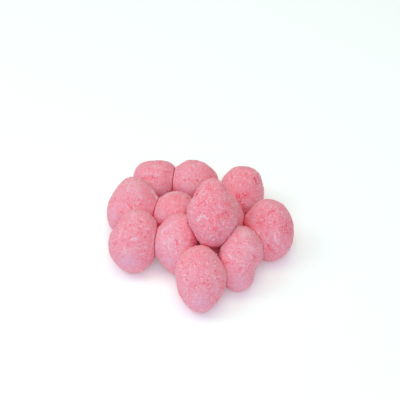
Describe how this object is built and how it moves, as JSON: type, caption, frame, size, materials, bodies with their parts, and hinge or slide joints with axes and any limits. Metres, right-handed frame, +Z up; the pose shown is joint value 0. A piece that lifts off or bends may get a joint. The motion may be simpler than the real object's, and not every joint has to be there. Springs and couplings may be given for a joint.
{
  "type": "heap of strawberry bonbons",
  "caption": "Loose heap of soft, uneven egg-shaped strawberry bonbons rolled in pink sugar powder, lying on and against one another.",
  "frame": {"origin": "the table under the middle of the heap: the centre of the underside of its bounding box", "axes": "+Z up; -Y is the front of the heap, and +X is its right"},
  "size_m": [0.0848, 0.087, 0.0416],
  "materials": {
    "pink_sugar_powder": "dull pink sugar powder pressed into the soft sweet, with fine pale grains"
  },
  "bodies": {
    "root": {"bonbon_front": "pink_sugar_powder", "bonbon_front_left": "pink_sugar_powder", "bonbon_middle_left": "pink_sugar_powder", "bonbon_front_right": "pink_sugar_powder", "bonbon_right": "pink_sugar_powder", "bonbon_left": "pink_sugar_powder", "bonbon_centre_left": "pink_sugar_powder", "bonbon_back_left": "pink_sugar_powder", "bonbon_back_middle": "pink_sugar_powder", "bonbon_back_right": "pink_sugar_powder", "bonbon_centre": "pink_sugar_powder", "bonbon_top": "pink_sugar_powder"}
  },
  "joints": []
}
